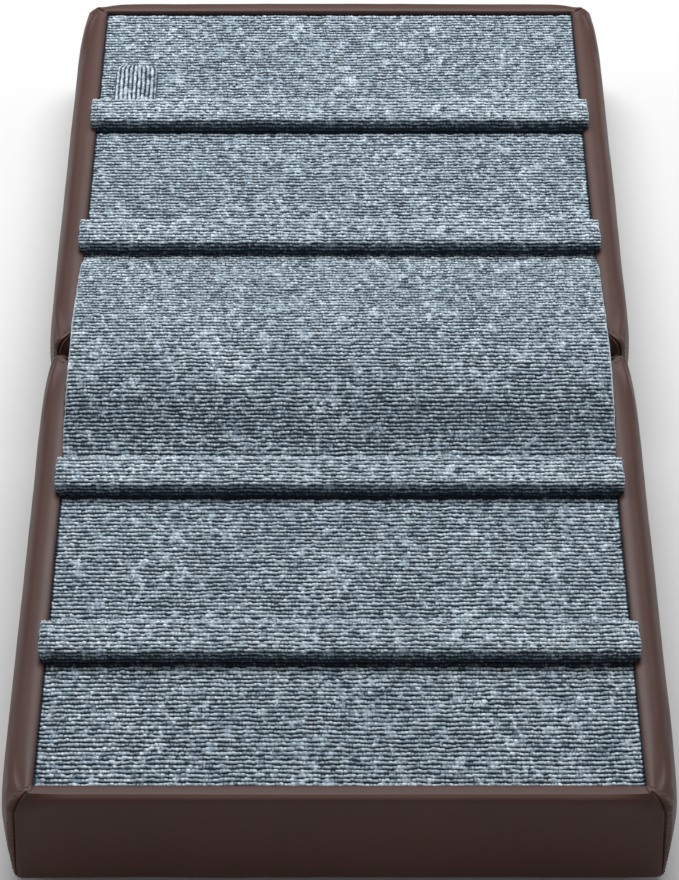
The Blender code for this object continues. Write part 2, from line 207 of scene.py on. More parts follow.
# %% Thread
def thread_finish():
    f = Finish("thread", Roughness=0.7)
    place = f.place()
    twist = f.node("ShaderNodeTexWave", {"bands_direction": "DIAGONAL"},
                   {"Vector": place, "Scale": 900.0, "Distortion": 1.0}).out("Fac")
    f.feed("Base Color", f.mix(twist, (0.070, 0.045, 0.039, 1), (0.150, 0.108, 0.095, 1)))
    f.feed("Normal", f.bump(twist, 0.3, 0.0001))
    return f.material


THREAD = thread_finish()

# %% [markdown]
# The carpet is a heather yarn: pale blue-grey tips, and a dark navy down between the rows.
# How deep a point lies in the pile is known when the mesh is made, so it is stored there as the colour
# attribute `pile`: red is the height in the pile, times the painted shade along the sides, at the cut ends,
# by the cleats and on the bow's near slope, green a tone for each loop and blue a slow mottling. The shader
# reads it and makes low points dark, partly the navy yarn and partly painted shade down in the grooves,
# and adds the fine strands of the yarn as a stretched noise.

# %% Carpet
def carpet_finish():
    f = Finish("carpet", Roughness=0.92, Specular_IOR_Level=0.12, Sheen_Weight=0.15)
    pile = f.node("ShaderNodeAttribute", {"attribute_name": "pile"}).out("Color")
    parts = f.node("ShaderNodeSeparateColor", None, {0: pile})
    height, loop, patch = parts.out(0), parts.out(1), parts.out(2)
    place = f.place()
    strand = f.noise(1500.0, 3.0, place, 0.65)
    speck = f.noise(420.0, 2.0, place, 0.6)
    tip = f.mix(loop ** 0.8, (0.30, 0.39, 0.465, 1), (0.73, 0.84, 0.92, 1))
    tip = f.mix(f.fit(patch, 0.0, 1.0, 0.30, 0.0), tip, (0.20, 0.28, 0.34, 1))
    tip = f.mix(f.fit(speck, 0.55, 0.70, 0.0, 0.55), tip, (0.09, 0.14, 0.19, 1))
    # partly painted shade: the lower a point lies in the pile, the nearer it comes to the dark navy colour
    lit = f.fit(height + 0.55 * (strand - 0.5) + 0.40 * (speck - 0.5), 0.33, 0.77)
    f.feed("Base Color", f.mix(lit ** 1.2, (0.012, 0.025, 0.040, 1), tip))
    f.feed("Normal", f.bump(strand + 0.6 * speck, 0.6, 0.0005))
    return f.material


CARPET = carpet_finish()


# %% [markdown]
# The hidden frame shows when the ramp folds or is turned over. Plywood has long grain and faint rings,
# zinc-plated steel fine brushing along its length, rubber a dull mottled skin, and the dust cover under
# each section the felted look of non-woven cloth.

# %% Wood, steel, rubber and underside cloth
def wood_finish():
    f = Finish("plywood", Roughness=0.55)
    place = f.place()
    long_way = f.node("ShaderNodeMapping", None, {"Vector": place, "Scale": (60.0, 4.0, 60.0)}).out(0)
    rings = f.node("ShaderNodeTexWave", {"wave_type": "RINGS"},
                   {"Vector": long_way, "Scale": 0.6, "Distortion": 6.0, "Detail": 3.0}).out("Fac")
    fibre = f.noise(8.0, 6.0, long_way, 0.7)
    base = f.mix(rings, (0.50, 0.33, 0.18, 1), (0.66, 0.48, 0.29, 1))
    f.feed("Base Color", f.mix(f.fit(fibre, 0.4, 0.7, 0.0, 0.4), base, (0.36, 0.22, 0.11, 1)))
    f.feed("Normal", f.bump(fibre, 0.3, 0.0003))
    return f.material


def steel_finish():
    f = Finish("zinc_plated_steel", Metallic=1.0)
    place = f.place()
    drawn = f.node("ShaderNodeMapping", None, {"Vector": place, "Scale": (40.0, 900.0, 900.0)}).out(0)
    brush = f.noise(1.0, 4.0, drawn, 0.6)
    cloud = f.noise(60.0, 3.0, place)
    f.feed("Base Color", f.mix(cloud, (0.50, 0.51, 0.53, 1), (0.66, 0.66, 0.65, 1)))
    f.feed("Roughness", 0.26 + 0.22 * brush)
    f.feed("Normal", f.bump(brush, 0.12, 0.0001))
    return f.material


def rubber_finish():
    f = Finish("rubber")
    skin = f.noise(700.0, 3.0)
    f.feed("Base Color", f.mix(skin, (0.012, 0.012, 0.012, 1), (0.035, 0.034, 0.033, 1)))
    f.feed("Roughness", 0.68 + 0.25 * skin)
    f.feed("Normal", f.bump(skin, 0.3, 0.0002))
    return f.material


def felt_finish():
    f = Finish("underside_cloth", Roughness=0.95)
    fibres = f.noise(1100.0, 5.0, roughness=0.75)
    dots = f.node("ShaderNodeTexVoronoi", None, {"Vector": f.place(), "Scale": 420.0}).out(0)
    f.feed("Base Color", f.mix(fibres, (0.010, 0.010, 0.011, 1), (0.050, 0.050, 0.054, 1)))
    f.feed("Normal", f.bump(fibres + 0.6 * dots, 0.5, 0.0003))
    return f.material


WOOD, STEEL, RUBBER, FELT = wood_finish(), steel_finish(), rubber_finish(), felt_finish()

# %% [markdown]
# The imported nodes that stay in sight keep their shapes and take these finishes, told apart by their names.

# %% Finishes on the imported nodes
FINISH_FOR = (("board", WOOD), ("rail", WOOD), ("batten", WOOD), ("hinge_leaf", STEEL),
              ("hinge_pin", STEEL), ("bolt", STEEL), ("foot", RUBBER), ("underside", FELT))
dressed = 0
for name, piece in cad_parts.items():
    for word, finish in FINISH_FOR:
        if word in name:
            for slot in piece.material_slots:
                slot.material = finish
            dressed += 1
            break
print(dressed, "packed nodes dressed")

# %% [markdown]
# ## The carpet
# A ribbed loop carpet is rows of small yarn loops. Each stretch of it is one closed profile, swept across
# the ramp's width: along the top the profile has five points to each rib, and underneath only a few. The
# sweep starts as a flat grid, whose points are then moved onto the profile and raised into loops. Random
# numbers come from a hash of the rib's and loop's own numbers, so every run is the same and ribs meet
# across pieces.

# %% Loops of pile
RIB = 0.00375  # one row of loops to the next
LOOP = 0.0029  # one loop to the next, along its row
PILE = 0.0023  # how far the loops stand above the grooves
RIB_POINTS = (0.0, 0.17, 0.40, 0.60, 0.83)  # where the five points of a rib lie between two grooves
COLUMN = 0.00115  # step across the width
CUT_BEND = 0.0012  # how far in a cut end bends down
FADE = 0.0012  # how far in from the painted shadow of the leather's lip the pile is fully lit, and a pale edge gone
RAGGED, RAGGED_IN = 0.0008, 0.003  # how unevenly the rows end at the sides, and how far in that shows


def chance(*numbers):
    """A repeatable random number from 0 to 1 for each set of whole numbers."""
    total = sum(np.asarray(n, float) * k for n, k in zip(numbers, (12.9898, 78.233, 37.719)))
    value = np.sin(total) * 43758.5453
    return value - np.floor(value)


def drift(x, y, size, seed):
    """Smooth random variation from -1 to 1 with features of about the given size, on a turned lattice."""
    u, v = (0.8 * x + 0.6 * y) / (1.4 * size), (0.8 * y - 0.6 * x) / (1.4 * size)
    i, j = np.floor(u), np.floor(v)
    a, b = u - i, v - j
    a, b = a * a * (3 - 2 * a), b * b * (3 - 2 * b)
    near = chance(i, j, seed) * (1 - a) + chance(i + 1, j, seed) * a
    far = chance(i, j + 1, seed) * (1 - a) + chance(i + 1, j + 1, seed) * a
    return 2 * (near * (1 - b) + far * b) - 1


def pile(along, across):
    """Height from 0 to 1, a tone for each loop, and a sideways shift, for points of a loop carpet."""
    row = np.floor(along / RIB + 1e-6)
    within = along / RIB - row
    wobble = 0.45 * drift(across, row * RIB, 0.011, 5.0) + 0.35 * drift(across, row * 0.02, 0.004, 1.0)
    count = across / LOOP + 7 * chance(row, 3) + wobble + 0.5 * (within - 0.5)
    loop = np.floor(count)
    inside = count - loop
    arch = np.sin(np.pi * np.clip(within, 0, 1)) ** 0.85
    bead = np.sin(np.pi * inside) ** 0.8
    size = 0.74 + 0.26 * chance(row, loop, 1) - 0.16 * (chance(row, loop, 21) > 0.85)
    clumps = 0.50 * drift(across, along, 0.0022, 13.0) + 0.12 * drift(across, along, 0.009, 4.0)
    matted = np.clip(0.08 + clumps, 0, 0.6)
    height = arch * (0.50 + 0.50 * bead) * size + (1 - arch) * matted
    lean = chance(row, loop, 5) - 0.5 + 0.7 * (chance(row, loop, 8) - 0.5) * (inside - 0.5)
    return height, chance(row, loop, 9), 0.0014 * lean * arch


# %% [markdown]
# `carpet_strip` sweeps one such profile. The path gives, for a distance along the carpet, the place and
# the direction that is up. Rows wander a little, the sides and any cut end bend down, and the heights are
# stored for the shader.

# %% One stretch of carpet
def swept_grid(columns, rows):
    """A flat grid with the given number of steps, and its points' column and row numbers."""
    bm = bmesh.new()
    bmesh.ops.create_grid(bm, x_segments=columns, y_segments=rows, size=0.5)
    points = np.array([v.co for v in bm.verts])
    steps = [np.rint((points[:, i] + 0.5) * n).astype(int) for i, n in ((0, columns), (1, rows))]
    return bm, steps[0], steps[1]


def set_points(bm, points):
    for vert, point in zip(bm.verts, points):
        vert.co = point


def close_strip(bm):
    """Join the profile's two ends and cap the two open sides."""
    bmesh.ops.remove_doubles(bm, verts=bm.verts, dist=WELD)
    rim = [e for e in bm.edges if e.is_boundary]
    bmesh.ops.holes_fill(bm, edges=rim, sides=0)
    bmesh.ops.recalc_face_normals(bm, faces=bm.faces)
    return bm


def finished(name, bm, finish):
    """Turn a bmesh into a smooth-shaded object with a finish."""
    mesh = bpy.data.meshes.new(name)
    bm.to_mesh(mesh)
    bm.free()
    mesh.shade_smooth()
    mesh.materials.append(finish)
    piece = bpy.data.objects.new(name, mesh)
    bpy.context.collection.objects.link(piece)
    return piece


def carpet_strip(name, path, length, start, width, thickness, cut=(True, True), edge=0.0016, shaded=0.0,
                 bright=0.0, dark=None, stray=1.0, ends_at=None, under_step=0.012, placed=None,
                 pale_edge=0.0):
    """A closed piece of loop carpet.

    start: distance along the carpet at which the piece begins, so that its ribs go on from the last one.
    cut: which of its two ends are cut edges. edge: how far in its sides are rounded.
    shaded: how far in its sides are painted in shade. pale_edge: how pale, from 0 to 1, its sides are.
    bright: how much stretching opens the loops. dark: gives, for a distance, how much painted shade darkens
    the pile there.
    stray: how much the rows wander. ends_at: the line (y, z) to which its two sides close.
    under_step: step of the underside's points. placed: moves the finished points.
    """
    first, last = math.ceil(start / RIB - 1e-6), math.floor((start + length) / RIB + 1e-6)
    ribs = [(r + p) * RIB for r in range(first - 1, last + 1) for p in RIB_POINTS]
    top = [start] + [s for s in ribs if start + 0.0004 < s < start + length - 0.0004] + [start + length]
    under = list(np.linspace(start + length, start, max(3, int(length / under_step))))
    along = np.array(top + under + top[:1])
    is_top = np.array([1.0] * len(top) + [0.0] * len(under) + [1.0])
    columns = max(8, round(width / COLUMN))
    bm, column, row = swept_grid(columns, len(along) - 1)
    across = (column / columns - 0.5) * width
    s, up = along[row], is_top[row]
    height, tone, shift = pile(s, across)
    edge_gap = width / 2 - np.abs(across)
    side = 1 - np.clip(edge_gap / edge, 0, 1)
    side = np.sqrt(1 - side * side)
    from_start, from_end = s - start, start + length - s
    ends = np.clip((from_start if cut[0] else 1.0) / CUT_BEND, 0, 1) ** 0.5
    ends = ends * np.clip((from_end if cut[1] else 1.0) / CUT_BEND, 0, 1) ** 0.5
    wander = (0.0006 * drift(across, s, 0.05, 2.0) + 0.0004 * drift(across, s, 0.012, 7.0)
              + 0.00045 * drift(across, s, 0.0045, 11.0))
    inner = stray * np.clip(np.minimum(from_start, from_end) / 0.004, 0, 1)
    moved = np.clip(s + (wander + shift) * inner * up, start, start + length)
    place, lift = path(moved)
    rise = np.where(up > 0, (thickness - PILE * (1 - height * ends)) * (1 if ends_at else side), 0.0)
    x = across + 0.0003 * drift(across, s, 0.002, 4.0) * side * up
    x = x + RAGGED * (chance(np.floor(s / RIB), 17) - 0.5) * np.clip(1 - edge_gap / RAGGED_IN, 0, 1) * up
    points = np.empty((len(x), 3))
    points[:, 0] = x
    points[:, 1:] = place + lift * rise[:, None]
    if ends_at:
        shut = np.maximum(side, np.where(up > 0, 0.02, 0.01))[:, None]
        points[:, 1:] = ends_at + (points[:, 1:] - ends_at) * shut
    if placed:
        points = placed(points)
    set_points(bm, points)
    layer = bm.verts.layers.float_color.new("pile")
    patch = np.clip(0.5 + 0.5 * drift(across, s, 0.03, 9.0) + bright, 0, 1)
    tone = np.clip(tone + 0.4 * bright, 0, 1)
    # seen holds painted shade: black within `shaded` of each side, as the shadow beneath the leather's lip,
    # or else darker where the rounded sides turn down; `dark` adds more painted shade, and the pale edge is
    # raised over it
    seen = np.clip((edge_gap - shaded) / FADE, 0, 1) if shaded else 0.55 + 0.45 * side
    if dark:
        seen = seen * (1 - dark(s))
    pale = pale_edge * np.exp(-(edge_gap / FADE) ** 2)
    height, seen, tone = height + (1 - height) * pale, np.maximum(seen, pale), np.maximum(tone, pale)
    height = 1 - (1 - height) * (1 - 0.3 * bright)
    colours = np.stack([height * up * seen * (0.5 + 0.5 * ends), tone, patch, np.ones(len(x))], axis=1)
    for vert, colour in zip(bm.verts, colours):
        vert[layer] = colour
    piece = finished(name, close_strip(bm), CARPET)
    print(f"{name}: {len(piece.data.polygons)} faces")
    return piece


# %% [markdown]
# The runner is one carpet from end to end. It lies flat on the decks and bows up over the fold: creased
# by folding, it stands as a soft tent between the two middle cleats, whose crest is a little in front of
# the fold. The same curve gives the two halves that meet over the fold, so each can ride on its section.

# %% The path of the runner
near_low, near_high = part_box("lower_carpet_bridge")
far_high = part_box("upper_carpet_bridge")[1]
LOWER_FOOT, UPPER_FOOT = near_low[1], far_high[1]
HUMP = max(near_high[2], far_high[2]) - CARPET_TOP
CREST_Y, CREST_ROUND = -0.008, 0.35  # where the crest is, and how round: 0 would be a sharp tent
RIPPLE, RIPPLE_TURN = 0.025, 95.0  # height of the slow ripples as a share of HUMP, and radians per metre
THICK = CARPET_TOP - CARPET_BACK


def hump(y):
    """Rise of the bowed stretch, from 0 at the cleats to HUMP at the crest."""
    foot = np.where(y < CREST_Y, LOWER_FOOT, UPPER_FOOT)
    t = np.clip((y - CREST_Y) / (foot - CREST_Y), 0, 1)
    a = CREST_ROUND
    tent = (math.sqrt(a * a + 1) - np.sqrt(a * a + t * t)) / (math.sqrt(a * a + 1) - a)
    return HUMP * (tent + RIPPLE * np.sin(y * RIPPLE_TURN) * np.sin(np.pi * t))


def flat_path(y_start):
    """Carpet that lies flat: distance is simply y."""
    def path(s):
        y = s - y_start
        place = np.stack([y, np.full_like(y, CARPET_BACK)], axis=1)
        return place, np.tile([0.0, 1.0], (len(y), 1))
    return path


table_y = np.linspace(LOWER_FOOT - 0.02, UPPER_FOOT + 0.02, 1200)
table_z = hump(table_y)
table_slope = np.gradient(table_z, table_y)
table_s = np.concatenate([[0], np.cumsum(np.hypot(np.diff(table_y), np.diff(table_z)))])
S_ZERO = CARPET_END  # distance along the runner counts from its lower end
table_s += table_y[0] + S_ZERO
SPARE = table_s[-1] - (table_y[-1] + S_ZERO)


def runner_path(s):
    """Carpet over the fold, by distance along the runner."""
    y = np.interp(s, table_s, table_y)
    z = np.interp(s, table_s, table_z)
    tilt = np.interp(y, table_y, table_slope)
    up = np.stack([-tilt, np.ones_like(tilt)], axis=1) / np.sqrt(1 + tilt * tilt)[:, None]
    return np.stack([y, CARPET_BACK + z], axis=1), up


print(f"the bow takes {SPARE * 1000:.1f} mm more carpet than a flat runner")

# %% [markdown]
# The runner is cut into six pieces under the cleats and over the fold, where no joint shows, because a
# single piece would be too heavy. They are laid sheets of cloth.

# %% The runner
cleat_y, cleat_front = {}, []
for section, _ in SECTIONS:
    for number in (1, 2):
        low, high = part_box(f"{section}_cleat_cover_{number}")
        cleat_y[section, number] = (low[1] + high[1]) / 2
        cleat_front.append(low[1])
CUTS = [-CARPET_END, cleat_y["lower", 1], cleat_y["lower", 2], 0.0,
        cleat_y["upper", 1], cleat_y["upper", 2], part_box("upper_carpet")[1][1]]
NAMES = ("runner_lower_end", "runner_lower_middle", "runner_lower_bow",
         "runner_upper_bow", "runner_upper_middle", "runner_upper_end")


def distance_at(y):
    """Distance along the runner of a place on the ramp."""
    if y <= table_y[0]:
        return y + S_ZERO
    if y >= table_y[-1]:
        return y + S_ZERO + SPARE
    return float(np.interp(y, table_y, table_s))


TUCKED = 0.0032  # this much of each side of the carpet is painted in shade, as the shadow beneath the leather's lip
PALE_EDGE = 0.85  # how pale the bow's free sides are
SLANT_BACK, SLANT_DOWN = 0.55, 0.835  # that axis: its share away from the hinge, and downwards
FEET_OF_CLEATS = [distance_at(low) for low in cleat_front]
FOOT_SHADOW, FOOT_SHADOW_WIDTH = 0.75, 0.0014  # how dark the painted contact shadow is along the foot of each cleat, and how far it reaches
SHADED_SLOPE, SHADED_SLOPE_WIDTH = distance_at(-0.085), 0.034  # where painted shade lies on the near slope of the bow, and how wide it is
SLOPE_SHADE = 0.17


def painted_shade(s):
    """Painted shade: a contact shadow along the front of each cleat, and a little shade on the bow's near
    slope.
    """
    on_slope = SLOPE_SHADE * np.exp(-((s - SHADED_SLOPE) / SHADED_SLOPE_WIDTH) ** 2)
    return on_slope + sum(FOOT_SHADOW * np.exp(-(np.abs(s - foot) / FOOT_SHADOW_WIDTH) ** 1.5) for foot in FEET_OF_CLEATS)


PATHS = [flat_path(S_ZERO)] * 2 + [runner_path] * 2 + [flat_path(S_ZERO + SPARE)] * 2
for number, (name, path) in enumerate(zip(NAMES, PATHS)):
    low, high = distance_at(CUTS[number]), distance_at(CUTS[number + 1])
    bow = path is runner_path
    # dark: a painted contact shadow at the foot of each cleat and painted shade on the bow's near slope
    piece = carpet_strip(name, path, high - low, low, 2 * CARPET_HALF, THICK,
                         cut=(number == 0, number == len(NAMES) - 1), shaded=0.0 if bow else TUCKED,
                         dark=painted_shade, pale_edge=PALE_EDGE if bow else 0.0)
    body = "lower_section" if number < 3 else "upper_section"
    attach(piece, body)
    high - low
    if bow:
        foot, back = (CUTS[2], SLANT_BACK) if number < 3 else (CUTS[4], -SLANT_BACK)
        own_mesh(piece)
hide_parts("lower_carpet")
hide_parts("lower_carpet_bridge")
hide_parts("upper_carpet_bridge")
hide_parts("upper_carpet")

# %% [markdown]
# ## The cleats
# A cleat is a wooden batten in a sleeve of the same carpet: the ribs go up its front, over the top and
# down behind. The path is a box with rounded corners, followed by distance like the runner's.

# %% Cleat sleeves
def sleeve_path(y_centre, half, low, high, r, skin):
    """Up, over and down round a batten, by distance along the sleeve's outside."""
    rise, turn, flat = high - low - r, r * math.pi / 2, 2 * (half - r)
    stops = np.cumsum([0, rise, turn, flat, turn, rise])

    def path(s):
        s = np.clip(s, 0, stops[-1])
        stage = np.clip(np.searchsorted(stops, s, side="right") - 1, 0, 4)
        d = s - stops[stage]
        angle = np.choose(stage, [math.pi + 0 * d, math.pi - d / r, math.pi / 2 + 0 * d,
                                  math.pi / 2 - d / r, 0 * d])
        cosine, sine = np.cos(angle), np.sin(angle)
        y = np.choose(stage, [-half + 0 * d, -half + r + r * cosine, -half + r + d, half - r + r * cosine,
                              half + 0 * d])
        z = np.choose(stage, [low + d, high - r + r * sine, high + 0 * d, high - r + r * sine,
                              high - r - d])
        up = np.stack([cosine, sine], axis=1)
        return np.stack([y_centre + y, z], axis=1) - up * skin, up
    return path, float(stops[-1])


SLEEVE_SKIN, SLEEVE_ROUND = 0.0036, 0.0052  # thickness of the sleeve, and rounding of its long edges
SLEEVE_OVERHANG = 0.0027  # how far the sleeves reach past the carpet, over the leather
SLEEVE_SINK = 0.0012  # how far they go down into the runner's pile
FACE_SHADE = 0.62  # how dark the painted shade is at the foot of the front face
for section, _ in SECTIONS:
    for number in (1, 2):
        low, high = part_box(f"{section}_cleat_cover_{number}")
        path, total = sleeve_path((low[1] + high[1]) / 2, (high[1] - low[1]) / 2,
                                  low[2] - SLEEVE_SINK, high[2], SLEEVE_ROUND, SLEEVE_SKIN)
        width = high[0] - low[0] + 2 * SLEEVE_OVERHANG
        face = high[2] - low[2]
        # dark: painted shade down each cleat's front face, darkest at its foot
        sleeve = carpet_strip(f"{section}_cleat_sleeve_{number}", path, total, 0.0, width, SLEEVE_SKIN,
                              cut=(False, False), edge=0.0026, bright=0.19, under_step=0.003,
                              ends_at=((low[1] + high[1]) / 2, low[2]),
                              dark=lambda s: FACE_SHADE * np.clip(0.95 - s / face, 0, 1) ** 0.8)
        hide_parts(f"{section}_cleat_cover_{number}")
        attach(sleeve, f"{section}_section")

# %% [markdown]
# The pull tab is a tongue of the same carpet with its rows running the other way, sewn in under the back of
# the last cleat. Its two far corners are rounded, and its free end curls up a little.

# %% Pull tab
tab_low, tab_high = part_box("pull_tab")
TAB_WIDE, TAB_ROUND = tab_high[0] - tab_low[0], 0.008
TAB_ROOT = tab_low[1] - 0.0050  # the strip starts under the cleat
TAB_LONG = tab_high[1] - TAB_ROOT
TAB_X = (tab_low[0] + tab_high[0]) / 2
TAB_THICK, TAB_CURL = 0.0042, 0.0016  # its thickness, and how far its free end rises


def tab_place(points):
    """Turn the strip so that its rows run along the ramp, and round its far corners."""
    off, run, z = points.T.copy()
    y = TAB_ROOT + TAB_LONG / 2 + off
    past = np.clip(y - (tab_high[1] - TAB_ROUND), 0, TAB_ROUND)
    half = TAB_WIDE / 2 - TAB_ROUND + np.sqrt(np.maximum(TAB_ROUND ** 2 - past ** 2, 0))
    x = (run - TAB_WIDE / 2) * half / (TAB_WIDE / 2)
    lifted = TAB_CURL * np.clip((y - TAB_ROOT) / TAB_LONG, 0, 1) ** 2
    return np.stack([TAB_X + x, y, z + lifted], axis=1)


def tab_path(s):
    return np.stack([s, np.full_like(s, tab_low[2])], axis=1), np.tile([0.0, 1.0], (len(s), 1))


tab = carpet_strip("tab", tab_path, TAB_WIDE, 0.0, TAB_LONG, TAB_THICK, placed=tab_place, bright=0.1,
                   stray=0.45, under_step=0.004)
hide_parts("pull_tab")
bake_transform(tab)

# %% [markdown]
# ## The leather covers
# Each section is bound in a padded leather rim: down both sides, across the outer end, and, as a thin
# panel, across the face towards the fold. It is one closed ring. Its profile starts at the lip that nips
# the carpet's edge, goes over a nearly flat crown, rolls into the side and tucks in under the base. At the
# fold the profile changes into a thin flat panel that stops below the runner.

# %% The rim's two profiles
SIDE_LIP = 0.0036  # how far the lip covers the carpet along the sides
END_LIP = {"lower": 0.0082, "upper": 0.0006}  # the same at each outer end
END_LEAN = {"lower": 0.0070, "upper": 0.0}  # how far the top of each outer end leans inwards
FOLD_LEAN, FOLD_DEPTH = 0.0075, 0.015  # the same by the fold, where the two rims leave a V between them
ROLL, SOFT_ROLL = 0.0048, 0.0125  # rounding from the crown into the side, along a panel and at a seam
HEM = 0.0026  # rounding at the bottom edge
TUCK = 0.0214  # leather turned in under the base
UNDER = UNDERSIDE - 0.0003  # the turned-in leather lies over the edge of the underside cloth
PANEL = 0.0012  # thickness of the panel at the fold
PANEL_TOP = WOOD_TOP - 0.0004
LIP_OUT = 0.0042  # where the lip ends and the crown begins


def turn_points(centre, radius, start, end, steps):
    angles = np.radians(np.linspace(start, end, steps + 1))
    return [(centre[0] + radius * math.cos(a), centre[1] + radius * math.sin(a)) for a in angles]


def rim_profile(roll):
    """The padded rim as a closed loop of (out, height), and which of its points are visible skin."""
    inner = [(0.0004, z) for z in np.linspace(UNDERSIDE + 0.0016, WOOD_TOP - 0.001, 5)]
    skin = [(0.0004, CARPET_TOP - 0.0030), (-0.0026, CARPET_TOP - 0.0018),
            (-SIDE_LIP, CARPET_TOP + 0.0001), (-0.0033, CARPET_TOP + 0.0012), (-0.0018, CROWN - 0.0005),
            (0.0008, CROWN + 0.0003), (min(LIP_OUT, BORDER - roll), CROWN + 0.0005)]
    skin += turn_points((BORDER - roll, CROWN - roll), roll, 84, 0, 7)
    skin += [(BORDER, z) for z in np.linspace(CROWN - roll - 0.005, UNDERSIDE + HEM + 0.006, 11)]
    skin += turn_points((BORDER - HEM, UNDERSIDE + HEM), HEM, 0, -90, 3)
    under = [(out, UNDER) for out in (0.004, -0.006, -TUCK)] + [(-TUCK, UNDERSIDE + 0.0012)]
    visible = [0.0] * len(inner) + [1.0] * len(skin) + [0.0] * len(under)
    return np.array(inner + skin + under), np.array(visible)


PROFILE, VISIBLE = rim_profile(ROLL)
SOFT_PROFILE, _ = rim_profile(SOFT_ROLL)


def panel_profile():
    """The same points, moved to where they lie in the thin panel at the fold."""
    out, z = PROFILE.T
    spread = np.clip((out + SIDE_LIP) / (BORDER + SIDE_LIP), 0, 1)
    out = np.where(VISIBLE > 0, BORDER - PANEL + spread * PANEL, BORDER - PANEL)
    z = np.clip(z, UNDER, PANEL_TOP)
    share = np.clip((out - (BORDER - PANEL)) / PANEL, 0, 1)
    z = np.where(z >= PANEL_TOP, z - 0.0007 * share ** 4, z)
    return np.stack([out, z], axis=1)


FLAT = panel_profile()
print(len(PROFILE), "points round the rim")

# %% [markdown]
# The outline of a section is walked once round, column by column. Each column knows where it stands, which
# way is out, how far it is from the nearest corner seam and how much of it is already panel. A seam runs
# down the middle of each corner, so the columns stand close together there.

# %% The outline of a section
CORNER_STEPS = 22
INNER_D = FOLD_FACE + BORDER  # the rim's inner line at the fold, as a distance from the fold
CROWN_SQUARE, HEM_SQUARE = 2.5, 5.5  # how square the corners are, above and below; 2 would be round
EAR, TUCK_EAR = 0.0120, 0.0190  # how far past its corners the fold end keeps its padding, and its tuck
QUARTER = math.pi / 4
CLOSE_STEP, WIDE_STEP = 0.0014, 0.0075  # steps of a straight run, by its corners and in between


def straight(length):
    """Steps along a straight run: close together by the corners, wide in between."""
    near = np.arange(1, 9) * CLOSE_STEP
    steps = max(4, round((length - 2 * near[-1]) / WIDE_STEP))
    middle = np.linspace(near[-1], length - near[-1], steps)
    return np.concatenate([near[:-1], middle, length - near[:-1][::-1]])


def outline():
    """Rows of x, distance from the fold, cosine and sine of the way out, arc, gap, panel and sign."""
    columns = []

    def corner(x, d, start, sign):
        for step in range(CORNER_STEPS + 1):
            u = 2 * step / CORNER_STEPS - 1
            share = 0.5 + 0.5 * math.copysign(abs(u) ** 1.35, u)
            angle = math.radians(start - 90 * share)
            columns.append((x, d, math.cos(angle), math.sin(angle), (share - 0.5) * 2 * QUARTER, 0.0,
                            0.0, sign))

    def run(x, d, dx, dd, length, out, at_fold, signs):
        for step in straight(length):
            gap = step if step < length / 2 else step - length
            t = min(abs(gap) / EAR, 1.0) * at_fold
            columns.append((x + dx * step, d + dd * step, *out, math.copysign(QUARTER, gap), gap,
                            t ** 2 * (3 - 2 * t), signs[0] if gap > 0 else signs[1]))

    side_run = END_EDGE - INNER_D
    run(-EDGE, END_EDGE, 1, 0, 2 * EDGE, (0, 1), 0, (-1, 1))
    corner(EDGE, END_EDGE, 90, 1)
    run(EDGE, END_EDGE, 0, -1, side_run, (1, 0), 0, (1, -1))
    corner(EDGE, INNER_D, 0, -1)
    run(EDGE, INNER_D, -1, 0, 2 * EDGE, (0, -1), 1, (-1, 1))
    corner(-EDGE, INNER_D, -90, 1)
    run(-EDGE, INNER_D, 0, 1, side_run, (-1, 0), 0, (1, -1))
    corner(-EDGE, END_EDGE, 180, -1)
    return np.array(columns)


COLUMNS = outline()
print(len(COLUMNS), "columns round each section")

# %% [markdown]
# The foam bellies the long sides out between their seams, most at mid height, and the end hardly at all. A
# point's distance from the seam is measured along the rim at its own place, positive on a side panel and
# negative on an end.

# %% From outline and profile to points
SIDE_BELLY = 0.0064  # how far the middle of a long side stands out
BY_SEAM = 0.011  # the rim is pulled in and softly rolled within about this distance of a seam
BY_FOLD = 0.2  # a column nearer the fold than this belongs to the fold end, not the outer end


